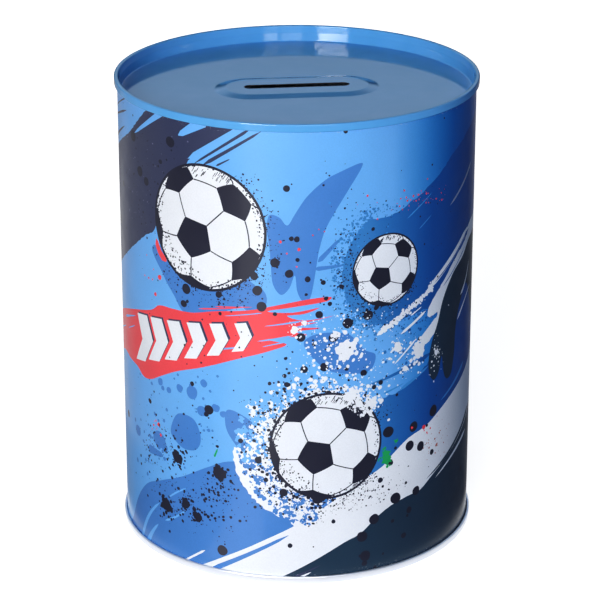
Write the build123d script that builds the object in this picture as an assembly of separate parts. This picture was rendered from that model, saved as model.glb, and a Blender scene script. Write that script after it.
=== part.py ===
"""Tin money box: a rolled tinplate tube closed by two double-seamed ends, with a coin slot in the top one.

Frame: origin at the centre of the base land, +Z up, +X along the coin slot. Millimetres.
"""

from build123d import *
import os

# Tube and plate
body_diameter = 150.0  # outside of the printed tube
overall_height = 200.0  # base land to the crest of the top seam
body_plate = 0.25  # tinplate thickness of the tube
end_plate = 0.30  # tinplate thickness of both ends

# Double seam
seam_height = 3.35  # crest to the lower edge of the seam
layer_gap = 0.13  # space between neighbouring layers in the seam
compound_depth = 0.25  # space for compound between the crest and the body's flange bend
compound_width = 0.90
compound_clearance = 0.02
compound_corner = 0.09
crest_bend = 0.50  # mid-plane radius of the two corners of the crest
hook_bend = 0.40  # mid-plane radius of the folds that form the hooks
body_hook_depth = 2.60  # end of the body hook, below the crest
cover_hook_depth = 1.25  # end of the cover hook, below the crest

# Top end
panel_depth = 7.0  # crest to the top face of the sunk panel
chuck_wall_taper = 0.6  # how far the chuck wall leans in below the seam
panel_bend = 0.8
wall_bend = 1.5

# Raised oval and coin slot
oval_length = 69.0
oval_width = 31.5
oval_ramp = 4.5  # width of the sloping edge of the oval
oval_rise = 0.9
oval_fillet = 5.0  # rounding where the slope meets the panel and the oval's top
oval_margin = 4.0  # flat panel carried round the oval
oval_blank = 1.2  # depth of the solid that the oval's plate is taken from, more than the plate
slot_length = 44.0
slot_width = 5.0
slot_edge_radius = 0.1  # the punched edge is eased on top

# Bottom end
bottom_panel_depth = 4.5  # crest to the outside of the countersink
bead_step = 0.8  # each ring bead steps the panel further in from the base land
bead_radii = (64.0, 50.0, 36.0)  # where the steps are
bead_ramp = 1.5
bead_bend = 1.2

# Side weld
weld_azimuth = 83.5  # degrees from +X: the weld is at the back of the print
weld_width = 0.8
weld_ridge = 0.08  # how far the mashed overlap stands proud of the plate, inside and out
weld_end_gap = 0.5  # the ridge stops this far short of each seam

body_radius = body_diameter / 2
past_axis = -1.0  # panel paths run this far past the axis, where ring_of_plate trims them

# Mid-plane radii of the five layers of a seam, from the inside out
chuck_wall_radius = body_radius - body_plate - layer_gap - end_plate / 2
body_wall_radius = body_radius - body_plate / 2
cover_hook_radius = body_radius + layer_gap + end_plate / 2
body_hook_radius = cover_hook_radius + end_plate / 2 + layer_gap + body_plate / 2
seaming_wall_radius = body_hook_radius + body_plate / 2 + layer_gap + end_plate / 2

# Mid-plane depths below the crest
flange_depth = end_plate + compound_depth + body_plate / 2
seam_foot_depth = seam_height - end_plate / 2


def height_in_top(depth):
    """Height of a point that lies a given depth below the crest of the top seam."""
    return overall_height - depth


def height_in_bottom(depth):
    """Height of a point that lies a given depth inside the crest of the bottom seam, which is the base."""
    return depth


def ring_of_plate(path, bends, plate):
    """Plate bent along a mid-plane path of (radius, height) points, turned all the way round the axis."""
    section = make_face(offset(FilletPolyline(*path, radius=bends), amount=plate / 2))
    one_side = Pos(body_diameter, overall_height / 2) * Rectangle(2 * body_diameter, 2 * overall_height)
    return revolve(Plane.XZ * (section & one_side), Axis.Z)


def end_ring(height, panel_path, panel_bends):
    """An end from its cover hook, over the crest and down the chuck wall to the panel path it is given."""
    hook_and_wall = [
        (cover_hook_radius, cover_hook_depth),
        (cover_hook_radius, seam_foot_depth),
        (seaming_wall_radius, seam_foot_depth),
        (seaming_wall_radius, end_plate / 2),
        (chuck_wall_radius, end_plate / 2),
        (chuck_wall_radius, seam_height),
    ]
    path = [(radius, height(depth)) for radius, depth in hook_and_wall + panel_path]
    bends = [hook_bend, hook_bend, crest_bend, crest_bend, wall_bend] + panel_bends
    return ring_of_plate(path, bends, end_plate)


def body_shell():
    """The tube with its two folded flanges and the ridge of its side weld."""
    top = [
        (body_hook_radius, height_in_top(body_hook_depth)),
        (body_hook_radius, height_in_top(flange_depth)),
        (body_wall_radius, height_in_top(flange_depth)),
    ]
    bottom = [
        (body_wall_radius, height_in_bottom(flange_depth)),
        (body_hook_radius, height_in_bottom(flange_depth)),
        (body_hook_radius, height_in_bottom(body_hook_depth)),
    ]
    tube = ring_of_plate(top + bottom, [hook_bend] * 4, body_plate)
    weld_length = overall_height - 2 * (seam_height + weld_end_gap)
    weld = Box(body_plate + 2 * weld_ridge, weld_width, weld_length)
    placed = Rot(0, 0, weld_azimuth) * Pos(body_wall_radius, 0, overall_height / 2) * weld
    return tube + placed


def raised_oval():
    """The raised oval as bent plate, its foot at height 0, with the coin slot punched through it."""
    foot = SlotOverall(oval_length, oval_width)
    plateau = SlotOverall(oval_length - 2 * oval_ramp, oval_width - 2 * oval_ramp)
    solid = extrude(oval_surround(), amount=-oval_blank) + loft([foot, Pos(0, 0, oval_rise) * plateau])
    brow = solid.edges().filter_by_position(Axis.Z, oval_rise, oval_rise)
    solid = solid.fillet(oval_fillet, brow)
    surround = solid.faces().filter_by_position(Axis.Z, 0, 0)[0]
    solid = solid.fillet(oval_fillet, surround.inner_wires()[0].edges())
    plate = solid - Pos(0, 0, -end_plate) * solid

    slot = SlotOverall(slot_length, slot_width)
    plate = plate - extrude(slot, amount=oval_rise + oval_blank, both=True)
    slot_edge = plate.edges().filter_by_position(Axis.Z, oval_rise, oval_rise)
    return plate.fillet(slot_edge_radius, slot_edge)


def oval_surround():
    """Outline of the raised oval with the flat margin round it."""
    return SlotOverall(oval_length + 2 * oval_margin, oval_width + 2 * oval_margin)


def top_end():
    """The lacquered end: seamed edge, sunk panel, raised oval and coin slot."""
    panel_middle = panel_depth + end_plate / 2
    corner = chuck_wall_radius - chuck_wall_taper
    panel = [(corner, panel_middle), (past_axis, panel_middle)]
    end = end_ring(height_in_top, panel, [panel_bend])
    panel_top = height_in_top(panel_depth)
    window = Pos(0, 0, panel_top) * extrude(oval_surround(), amount=oval_blank, both=True)
    return end - window + Pos(0, 0, panel_top) * raised_oval()


def bottom_end():
    """The bare end: seamed edge and a panel that steps inwards at each ring bead."""
    depth = bottom_panel_depth + end_plate / 2
    panel = [(chuck_wall_radius - chuck_wall_taper, depth)]
    bends = [panel_bend]
    for radius in bead_radii:
        panel.append((radius, depth))
        depth += bead_step
        panel.append((radius - bead_ramp, depth))
        bends += [bead_bend, bead_bend]
    panel.append((past_axis, depth))
    return end_ring(height_in_bottom, panel, bends)


def seam_compound(height):
    """The compound ring that fills the head of a seam, between the crest and the body's flange bend."""
    thickness = compound_depth - 2 * compound_clearance
    middle = height(end_plate + compound_depth / 2)
    section = Pos(cover_hook_radius, middle) * RectangleRounded(compound_width, thickness, compound_corner)
    return revolve(Plane.XZ * section, Axis.Z)


pieces = {
    "body_shell": body_shell(),
    "top_end": top_end(),
    "bottom_end": bottom_end(),
    "top_seam_compound": seam_compound(height_in_top),
    "bottom_seam_compound": seam_compound(height_in_bottom),
}

os.makedirs("parts", exist_ok=True)
for name, piece in pieces.items():
    export_step(piece, f"parts/{name}.step")
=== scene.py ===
"""The tin money box dressed for rendering: a printed tube, a lacquered top end and a bare bottom end.

Objects are in metres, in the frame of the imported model: +Z up, +X along the coin slot, the base at z = 0.
The sizes below are in millimetres.
"""

import random
from math import atan, atan2, ceil, cos, hypot, inf, pi, radians, sin, sqrt, tan

import bpy
import numpy as np
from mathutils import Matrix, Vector
from mathutils.geometry import delaunay_2d_cdt


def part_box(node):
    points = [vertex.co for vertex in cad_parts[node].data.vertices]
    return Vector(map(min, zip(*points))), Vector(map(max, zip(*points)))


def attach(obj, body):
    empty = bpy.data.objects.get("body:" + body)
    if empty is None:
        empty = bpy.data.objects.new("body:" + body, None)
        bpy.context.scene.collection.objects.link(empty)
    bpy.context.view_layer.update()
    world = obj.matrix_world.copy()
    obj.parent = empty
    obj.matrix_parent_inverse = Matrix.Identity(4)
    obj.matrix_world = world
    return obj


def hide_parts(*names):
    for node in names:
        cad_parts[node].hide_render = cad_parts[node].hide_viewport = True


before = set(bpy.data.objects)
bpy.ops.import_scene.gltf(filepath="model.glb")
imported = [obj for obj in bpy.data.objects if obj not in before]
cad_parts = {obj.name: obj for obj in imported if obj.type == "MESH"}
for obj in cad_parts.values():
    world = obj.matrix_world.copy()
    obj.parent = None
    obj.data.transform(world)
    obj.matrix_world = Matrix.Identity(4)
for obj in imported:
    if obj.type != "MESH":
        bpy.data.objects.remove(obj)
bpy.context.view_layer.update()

MM = 0.001

# Plate and seams, worked out inwards from the seam's outside
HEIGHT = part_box("top_end")[1].z / MM
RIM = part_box("top_end")[1].x / MM
BODY_PLATE = 0.25
END_PLATE = 0.30
COMPOUND = 0.25  # thickness in the head of the seam
LAYER_GAP = 0.13
SEAM_HEIGHT = 3.35
SEAM_FOOT_DEPTH = SEAM_HEIGHT - END_PLATE / 2
FLANGE_DEPTH = END_PLATE + COMPOUND + BODY_PLATE / 2
BODY_HOOK_DEPTH = 2.60
COVER_HOOK_DEPTH = 1.25
SEAMING_WALL = RIM - END_PLATE / 2
BODY_HOOK = SEAMING_WALL - END_PLATE / 2 - LAYER_GAP - BODY_PLATE / 2
COVER_HOOK = BODY_HOOK - BODY_PLATE / 2 - LAYER_GAP - END_PLATE / 2
WALL = COVER_HOOK - END_PLATE / 2 - LAYER_GAP  # outside of the tube
CHUCK_WALL = WALL - BODY_PLATE - LAYER_GAP - END_PLATE / 2
HOOK_BEND = 0.40
SEAM_BENDS = [HOOK_BEND, HOOK_BEND, 0.50, 0.50, 1.5]  # hook, foot, both corners of the crest, chuck wall

# Top end
PANEL_DEPTH = 7.0
PANEL_BEND = 0.8
CHUCK_TAPER = 0.6
PANEL_ROUND = 72.0  # the panel's loops are round out here, and long ovals at the oval's foot
OVAL_FOOT = 15.75
OVAL_TOP = 11.25
OVAL_STRAIGHT = 18.75
OVAL_RISE = 0.9
OVAL_FILLET = 5.0
SLOT_STRAIGHT = 19.5
SLOT_HALF_WIDTH = 2.5

# Bottom end
BOTTOM_PANEL_DEPTH = 4.5
BEAD_REACHES = (64.0, 50.0, 36.0)
BEAD_STEP = 0.8
BEAD_RAMP = 1.5
BEAD_BEND = 1.2

# Side weld, at the back of the print
WELD_WIDTH = 0.8
WELD_RIDGE = 0.08
WELD_END = SEAM_HEIGHT + 0.5
WELD_RUN_OUT = 0.5
BARE_MARGIN = 3.5  # unprinted plate on each side of the weld

# How finely the plate is divided
WALL_COLUMNS = 241
WALL_ROWS = 17
END_COLUMNS = 288
STRIPE_LINES = (1.2, 2.3)  # extra lines on the bare stripe, from the middle of the weld

# The print
FRONT = radians(-6.5)  # turn of the print's front from -Y, towards +X
HALF_WAY = pi * WALL
PRINT_END = 2.2  # the print ends behind the seams
HIGH_BALL = (-38.8, 153.6), 26.8  # each ball's middle and radius
SMALL_BALL = (38.0, 136.0), 15.5
LOW_BALL = (12.5, 62.0), 23.8
INKS = {
    "ground": (116, 182, 250), "mid_blue": (80, 136, 209), "deep_blue": (20, 90, 168),
    "bright_blue": (72, 150, 220), "charcoal": (60, 66, 95), "slate": (40, 63, 84), "white": (243, 247, 255),
    "black": (42, 43, 60), "red": (248, 82, 90), "green": (40, 168, 100), "dust": (104, 106, 136),
    "rust": (190, 110, 100), "pale_line": (165, 178, 205),
}
INK_NAMES = list(INKS)

# Inks that change gradually along s: another colour, places along s, and that colour's share there
FADES = {
    "ground": ((8, 108, 192), (40, 76, 110, 140), (0, 1, 1, 0)),
    "deep_blue": ((66, 134, 200), (28, 62), (1, 0)),
}

# Camera, in metres, radians and millimetres of lens
CAMERA_REACH = 1.0347
CAMERA_HEIGHT = 0.4926
CAMERA_PITCH = radians(20.88)
CAMERA_SHIFT = 0.00525
LENS = 154.1

# Studio, in metres, and brightness in Blender's units
LIGHT_DISTANCE = 2.0
FLOOR_HALF = 6.0
AMBIENT = 0.055
REFLECTED = 1.1
FLOOR_GLOW = 0.78
FAR_GLOW = 1.1
UNDER_GLOW = 1.0
EDGE_GLOW = 0.3


def unit(vector):
    return vector / np.linalg.norm(vector)


def left_of(direction):
    """The direction a quarter turn to the left of a flat one."""
    return np.array([-direction[1], direction[0]])


# ---- Outlines of ink. They lie on the unrolled wall: s runs round the tube from the middle of the print's
# front and z runs up from the base, both in millimetres.


def smooth(points, steps=6):
    """Closed outline that runs smoothly through the given points (a Catmull-Rom curve)."""
    p = np.array(points, float)
    before, after, beyond = np.roll(p, 1, 0), np.roll(p, -1, 0), np.roll(p, -2, 0)
    t = (np.arange(steps) / steps)[None, :, None]
    a, b, c, d = (q[:, None, :] for q in (before, p, after, beyond))
    cubic = (3 * b - a - 3 * c + d) * t + (2 * a - 5 * b + 4 * c - d)
    return (0.5 * ((cubic * t + (c - a)) * t + 2 * b)).reshape(-1, 2)


def streak(start, end, start_width, end_width, bow=0.0):
    """A tapering dash of paint from start to end, bowed to its left by bow."""
    a, b = np.array(start, float), np.array(end, float)
    side = left_of(b - a) / np.hypot(*(b - a))
    t = np.linspace(0, 1, 9)[:, None]
    line = a + (b - a) * t + side * bow * 4 * t * (1 - t)
    width = start_width + (end_width - start_width) * t
    swell = np.sqrt(np.clip(np.minimum(t, 1 - t) * 8, 0.02, 1))
    return np.concatenate([line + side * width * swell / 2, (line - side * width * swell / 2)[::-1]])


def round_outline(at, radius, count, turn=0.0, lobes=(), middle=1.0):
    """A round outline that starts at turn. Each lobe (number, size, phase) makes its reach go up and down."""
    angles = turn + 2 * pi * np.arange(count) / count
    reach = radius * (middle + sum(size * np.cos(k * angles + phase) for k, size, phase in lobes))
    return np.stack([at[0] + reach * np.cos(angles), at[1] + reach * np.sin(angles)], 1)


def polar(centre, reach, angle):
    return centre[0] + reach * cos(angle), centre[1] + reach * sin(angle)


class Layers(list):
    """Layers of ink as (ink, outline), the lowest first, with the random numbers that scatter them."""

    def __init__(self, seed=0):
        super().__init__()
        self.rng = random.Random(seed)

    def shapes(self, ink, *outlines, steps=6):
        """Smooth shapes, each given by a few points of its outline."""
        self.extend((ink, smooth(points, steps)) for points in outlines)

    def ragged(self, ink, points, steps, depth, pitch):
        """A smooth shape cut up finer, with each point pushed sideways by up to depth."""
        p = smooth(points, steps)
        outline = []
        for a, b in zip(p, np.roll(p, -1, 0)):
            length = float(np.hypot(*(b - a)))
            count = max(1, round(length / pitch))
            side = left_of(b - a) / max(length, 1e-9)
            pushes = [self.rng.uniform(-depth, depth) for _ in range(count)]
            outline += [a + (b - a) * k / count + side * push for k, push in enumerate(pushes)]
        self.append((ink, np.array(outline)))

    def streaks(self, ink, *rows):
        """Streaks, each given as s and z of its two ends, the widths there and, if it bends, its bow."""
        self.extend((ink, streak(row[:2], row[2:4], *row[4:])) for row in rows)

    def drop(self, ink, at, radius, wobble=0.08):
        """A nearly round drop of paint."""
        count = next(count for limit, count in ((0.3, 5), (0.6, 7), (1.2, 10), (inf, 20)) if radius < limit)
        turn = self.rng.uniform(0, 2 * pi)
        lobes = [(k, self.rng.uniform(0, wobble) / k, self.rng.uniform(0, 2 * pi)) for k in (2, 3, 4)]
        self.append((ink, round_outline(at, radius, count, turn, lobes)))

    def drops(self, ink, *rows, wobble=0.1):
        """Drops, each given as s, z and radius."""
        for s, z, radius in rows:
            self.drop(ink, (s, z), radius, wobble)

    def blot(self, ink, at, radius, roughness):
        """A splash with an uneven edge."""
        count = 18 if radius < 2 else 44
        waves = (2, 3, 5, 7, 9, 11) if radius > 2 else (2, 3, 5)
        uniform = self.rng.uniform
        lobes = [(k, roughness * uniform(0.3, 1) / sqrt(k), uniform(0, 2 * pi)) for k in waves]
        self.append((ink, round_outline(at, radius, count, lobes=lobes, middle=0.9)))

    def splatter(self, ink, *rows, roughness=0.3):
        """Splashes, each given as s, z and radius, with smaller drops thrown off them."""
        for s, z, radius in rows:
            self.blot(ink, (s, z), radius, roughness)
            for _ in range(round(9 * sqrt(radius))):
                angle = self.rng.uniform(0, 2 * pi)
                reach = radius * self.rng.uniform(0.9, 1.7)
                size = radius * self.rng.uniform(0.06, 0.26)
                self.drop(ink, polar((s, z), reach, angle), size, 0.3)

    def size_between(self, smallest, largest):
        """A random size, far more often small than large."""
        return smallest + (largest - smallest) * self.rng.random() ** 3

    def spray(self, ink, centre, spread, count, sizes, inside=lambda s, z: True):
        """Fine drops thrown round a point, densest in the middle."""
        for _ in range(count):
            at = self.rng.gauss(centre[0], spread[0]), self.rng.gauss(centre[1], spread[1])
            size = self.size_between(*sizes)
            if inside(*at):
                self.drop(ink, at, size, 0.25)

    def halo(self, ink, centre, radius, arc, count, depth, sizes):
        """Fine drops thrown outwards from the edge of a circle, along an arc given in degrees."""
        for _ in range(count):
            angle = radians(self.rng.uniform(*arc))
            reach = radius + depth * self.rng.random() ** 1.8
            size = self.size_between(*sizes)
            self.drop(ink, polar(centre, reach, angle), size, 0.25)

    def football(self, centre, radius):
        """A football with a heavy outline and worn edges, in place of the layers that it hides."""
        self[:] = [layer for layer in self if np.hypot(*(layer[1] - centre).T).max() > radius]
        for ink, outline in plain_football(SEAM_SHARE + 0.06 / radius):
            self.append((ink, centre + radius * outline))
        self.worn_marks(centre, radius)

    def worn_marks(self, centre, radius):
        """Grit and scratches inside a ball's edge: thick at the lower left, lighter elsewhere."""
        for arc, count, inner in (
            ((195, 262), 120, 0.70), ((262, 318), 70, 0.84), ((-35, 45), 70, 0.86), ((45, 120), 40, 0.88),
            ((140, 195), 60, 0.84),
        ):
            for _ in range(round(count * radius / 25)):
                angle = radians(self.rng.uniform(*arc))
                reach = radius * (0.97 - (0.97 - inner) * self.rng.random() ** 1.6)
                size = radius * self.rng.uniform(0.006, 0.017)
                self.drop("black", polar(centre, reach, angle), size, 0.3)
        for _ in range(34):
            angle = radians(self.rng.uniform(58, 118))
            at = np.array(polar(centre, radius * self.rng.uniform(0.78, 0.88), angle))
            length = radius * self.rng.uniform(0.03, 0.12)
            self.append(("black", streak(at, at + length * np.array([0.5, 0.75]), 0.2, 0.3)))


# ---- A football, drawn as it looks from in front, with a radius of 1

SEAM_SHARE = 0.017  # width of the lines between panels, before the part that is the same on every ball
FACING = 0.02  # what lies no further forward than this isn't drawn


def football_axes():
    """The twelve middles of a football's black pentagons, as unit vectors with the viewer at +Z."""
    main = np.array([-0.20, -0.20, 0.0])
    main[2] = sqrt(1 - main @ main)
    neighbour = np.array([0.49, 0.47, 0.73])
    side = unit(neighbour - main * (neighbour @ main))
    third = np.cross(main, side)
    tilt = atan(2.0)
    axes = [main, -main]
    for k in range(5):
        turn = 2 * pi * k / 5
        axis = main * cos(tilt) + (side * cos(turn) + third * sin(turn)) * sin(tilt)
        axes += [axis, -axis]
    return axes


def football_corners(axes):
    """The corners of each pentagon, in order: each lies a third of the way from its middle to another."""
    pentagons = []
    for axis in axes:
        near = [other for other in axes if 0.4 < axis @ other < 0.5]
        across = near[0] - axis * (near[0] @ axis)
        up = np.cross(axis, across)
        near.sort(key=lambda other: atan2(other @ up, other @ across))
        pentagons.append([unit(axis * 2 + other) for other in near])
    return pentagons


def football_seams(axes, pentagons):
    """The thirty seams between white panels: each joins the nearest corners of two pentagons."""
    pairs = []
    for i, axis in enumerate(axes):
        for j in range(i + 1, len(axes)):
            if axis @ axes[j] > 0.4:
                a = max(pentagons[i], key=lambda corner: corner @ axes[j])
                b = max(pentagons[j], key=lambda corner: corner @ axis)
                pairs.append((a, b))
    return pairs


def arc_between(a, b, steps=5):
    """Points of the great circle from a to b, without b."""
    return [unit(a + (b - a) * k / steps) for k in range(steps)]


def seen(points, limit=0.985):
    """Points of a sphere as the viewer sees them, with those behind it brought to its edge."""
    flat = []
    for x, y, z in points:
        reach = hypot(x, y)
        grow = limit / reach if z < 0 or reach > limit else 1.0
        flat.append((x * grow, y * grow))
    return np.array(flat)


def plain_football(line):
    """The ball's outline, white ground, black pentagons and seams, with lines of this width."""
    layers = [("black", round_outline((0, 0), 1.0, 96)), ("white", round_outline((0, 0), 1 - 2.1 * line, 96))]
    axes = football_axes()
    pentagons = football_corners(axes)
    for corners in pentagons:
        if max(corner[2] for corner in corners) > FACING:
            rim = [p for a, b in zip(corners, corners[1:] + corners[:1]) for p in arc_between(a, b)]
            layers.append(("black", seen(rim)))
    for a, b in football_seams(axes, pentagons):
        if max(a[2], b[2]) > FACING:
            middle = seen([p for p in arc_between(a, b) + [b] if p[2] > -FACING])
            side = unit(left_of(middle[-1] - middle[0])) * line / 2
            layers.append(("black", np.concatenate([middle + side, (middle - side)[::-1]])))
    return layers


# ---- The print, part by part


def charcoal_brush():
    """The broad dark brush stroke at the upper left, with the dry streaks at its two ends."""
    art = Layers(11)
    body = [
        (-66, 199), (-45, 200), (-22, 199), (-34, 190), (-46, 180.5), (-60, 160), (-66, 147), (-73, 142.5),
        (-84, 134.5), (-97, 126), (-115, 115), (-132, 104), (-150, 97), (-164, 96), (-157, 101),
        (-171, 103), (-160, 108), (-178, 114), (-163, 118), (-169, 124), (-152, 128), (-160, 138),
        (-142, 141), (-148, 149), (-130, 152), (-118, 166), (-104, 173.5), (-95, 178), (-84, 184.5),
    ]
    art.ragged("charcoal", body, 3, 0.18, 1.4)
    art.streaks(
        "ground", (-80.5, 184.2, -58, 199, 1, 3), (-51, 190.2, -37, 199, 2, 5.4),
        (-46, 181.5, -21, 198, 2.2, 2.4), (-150, 118, -118, 134, 0.4, 1.6),
        (-165, 108, -128, 119, 1.4, 0.5), (-158, 131, -126, 147, 1.5, 0.4),
    )
    art.streaks(
        "charcoal", (-43, 180, -18, 197.5, 0.8, 1.3), (-39, 180, -14, 196.5, 1.6, 0.9),
        (-33, 180.5, -27, 184, 0.9, 0.4), (-125, 179, -89, 191.5, 0.5, 1.1), (-128, 166, -92, 184, 2, 0.7),
        (-112, 187, -84, 199, 0.4, 0.8),
    )
    art.drops(
        "black", (-55.5, 186.5, 2.3), (-82, 182.5, 2.4), (-76.5, 169, 2.2), (-71.5, 166, 1.8),
        (-96, 158, 1.2), (-104, 140, 2),
    )
    art.spray("black", (-72, 160), (14, 16), 150, (0.18, 0.55))
    art.spray("dust", (-80, 165), (22, 18), 90, (0.16, 0.42), inside=lambda s, z: z > 180 + 0.55 * s)
    return art


def blue_shapes():
    """The mid-blue wave, leaf, patches, teardrop and drops of the ground."""
    art = Layers(12)
    wave = [
        (-98, -4), (-92, 8), (-85, 20), (-76, 29.5), (-65, 35), (-52, 41), (-38, 49), (-27, 53.5),
        (-10, 52), (8, 46), (30, 44), (40, 30), (10, -6), (-50, -8),
    ]
    leaf = [
        (25.6, 182.6), (26, 180.5), (21, 172.5), (14.5, 162), (11, 155), (9, 148), (8, 142), (6.8, 134),
        (5.2, 127), (2.4, 126), (0.2, 130), (-0.8, 137), (-3, 131.5), (-6.4, 128.6), (-9.6, 133),
        (-10.4, 141), (-11, 149), (-12, 156), (-11, 162), (-7, 161.3), (-3.8, 158), (-0.6, 163), (4, 170),
        (11, 176.5), (18, 180),
    ]
    under_ball = [
        (-67, 140), (-61, 128.5), (-55, 121.5), (-49, 115), (-38, 117), (-26, 121), (-14, 129), (-34, 140),
    ]
    beside_splash = [(-29.5, 76), (-24, 75.5), (-16, 70), (-12, 60), (-20, 56), (-27, 63), (-30, 69)]
    above_splash = [
        (3, 106.5), (6, 111), (14, 112), (22, 110), (28, 103), (33, 100), (31, 94), (24, 93), (12, 96),
    ]
    teardrop = [
        (-55, 68), (-50, 69.8), (-44.5, 68), (-41.8, 61), (-44, 55.5), (-50, 54), (-55, 56), (-58.3, 60),
    ]
    art.shapes("mid_blue", wave, leaf, under_ball, beside_splash, above_splash, teardrop)
    art.streaks(
        "mid_blue", (8.5, 142.5, 17, 151.5, 2.2, 1.2), (7, 139.5, 19, 140.5, 2, 0.9),
        (-74.5, 46.8, -63.5, 46.8, 4.2, 2.2),
    )
    art.drops(
        "mid_blue", (-17.5, 126, 5.6), (-46, 80.6, 2.9), (-41, 73.4, 2.4), (-66, 53.5, 4), (-62.5, 51, 2),
        (-84, 51, 2.5), (-40, 86, 1.7), (30, 97, 2.6), wobble=0.14,
    )
    art.spray("mid_blue", (-56, 72), (16, 12), 26, (0.5, 1.9))
    art.spray("mid_blue", (-68, 52), (9, 10), 60, (0.3, 1.1))
    art.spray("mid_blue", (-38, 68), (5, 12), 26, (0.3, 0.8))
    art.streaks(
        "ground", (-83, -2, -66.5, 24, 2.4, 1, 2.5), (-78, -2, -67.8, 13.5, 3.4, 0.8, 1),
        (-63, 17, -50, 26, 1.1, 0.7, -0.6), (-60, 29, -50, 36, 0.9, 0.6, 0.3),
    )
    return art


def deep_blue_field():
    """The dark blue field on the right: a clean upper edge, and a left edge that breaks up into grain."""
    art = Layers(13)
    edge = [
        (27, 156.5), (33, 158.5), (41, 159.2), (50, 163), (58, 166.5), (66, 170.5), (74, 176), (82, 179.5),
        (92, 183), (108, 187), (124, 184), (142, 173), (156, 156), (162, 138), (152, 118), (138, 100),
        (120, 70), (96, 56), (60, 44), (36, 38), (26, 56), (34, 78), (46, 82), (62, 91), (68, 100),
        (64, 113), (52, 114), (38, 112), (28, 116), (21, 124), (18.5, 134), (20, 146),
    ]
    art.ragged("deep_blue", edge, 4, 0.4, 1.6)
    for _ in range(560):
        z = art.rng.uniform(112, 163)
        s = 23 + 10 * ((z - 137) / 25) ** 2 - 10 * art.rng.random() ** 1.7
        art.drop("deep_blue", (s, z), art.rng.uniform(0.18, 0.62), 0.3)
    for _ in range(230):
        s = art.rng.uniform(26, 66)
        z = 113.5 + 5 * art.rng.random() ** 1.5 * art.rng.choice((-1, -1, 1)) + 0.03 * (s - 26)
        art.drop("deep_blue", (s, z), art.rng.uniform(0.18, 0.6), 0.3)
    art.spray("deep_blue", (38, 161), (8, 2), 80, (0.18, 0.5))
    art.spray("deep_blue", (47, 100), (9, 7), 90, (0.2, 0.9))
    art.spray("bright_blue", (30, 133), (6, 12), 260, (0.18, 0.6))
    art.streaks("deep_blue", (28, 86.5, 63, 94, 0.8, 2.2))
    art.streaks(
        "bright_blue", (47.5, 156, 61, 164, 0.7, 0.3), (54, 150.2, 61, 154.5, 0.5, 0.3),
        (45, 82, 61, 88.5, 1.6, 0.8), (37, 82, 47, 84.5, 0.9, 0.4), (70, 70, 92, 80, 0.6, 2.2, -0.6),
    )
    art.streaks("pale_line", (74, 155, 97, 167.5, 0.9, 1.6, -0.4))
    return art


def white_swoosh():
    """The white band that climbs to the right, and the dark field below it."""
    art = Layers(14)
    upper = [
        (-48, -3), (-20, 15.5), (0, 27), (15, 37), (28, 45), (37, 49.5), (42, 54), (50, 59.2), (60, 61.8),
        (70, 66.3), (80, 70.3), (92, 74.5), (108, 81), (126, 91), (144, 104), (160, 120), (166, 131),
    ]
    lower = [
        (168, 120), (160, 103), (147, 88), (130, 72), (112, 58), (90, 47.8), (75, 42), (65, 37.6),
        (57, 33.2), (50, 32.6), (41, 30.4), (34, 26.4), (27, 20.6), (20, 17.6), (9, 11.3), (0, 6.2),
        (-9, 1), (-12, -4),
    ]
    far_side = [(152, 92), (163, 92), (176, 84), (190, 66), (200, 44), (206, 20), (208, -4)]
    dark = lower[::-1][:-2] + far_side
    art.shapes("white", upper + lower, steps=3)
    art.shapes("slate", dark, steps=3)
    art.streaks(
        "white", (-53, 1, -40.5, 10, 0.8, 1), (1, 2.4, 6, 5, 1.2, 0.3), (67, 35.4, 98, 46, 0.5, 2, 0.8),
        (150, 112, 172, 146, 1.4, 0.5, 1), (146, 112, 163, 138, 0.9, 0.3, 1),
        (158, 104, 181, 128, 1.1, 0.4, 1),
    )
    art.streaks("mid_blue", (-38, 1.5, -3.5, 22, 2.4, 1.2))
    art.streaks("charcoal", (-1.5, 2.6, 10, 8, 1.2, 0.4))
    art.streaks("slate", (61, 37, 104, 56, 0.6, 2.4, -0.6))
    art.drops("black", (29, 6.5, 1.3), (27, 10.2, 0.7), (34, 3.6, 0.9), (50, 23.5, 0.7), (92, 30, 1.2))
    art.spray("black", (30, 38), (11, 5), 150, (0.16, 0.42), inside=lambda s, z: z > 24 + 0.25 * s)
    art.spray("rust", (66, 53), (6, 4), 40, (0.16, 0.5))
    art.splatter("rust", (67.5, 50.5, 0.8))
    return art


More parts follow.
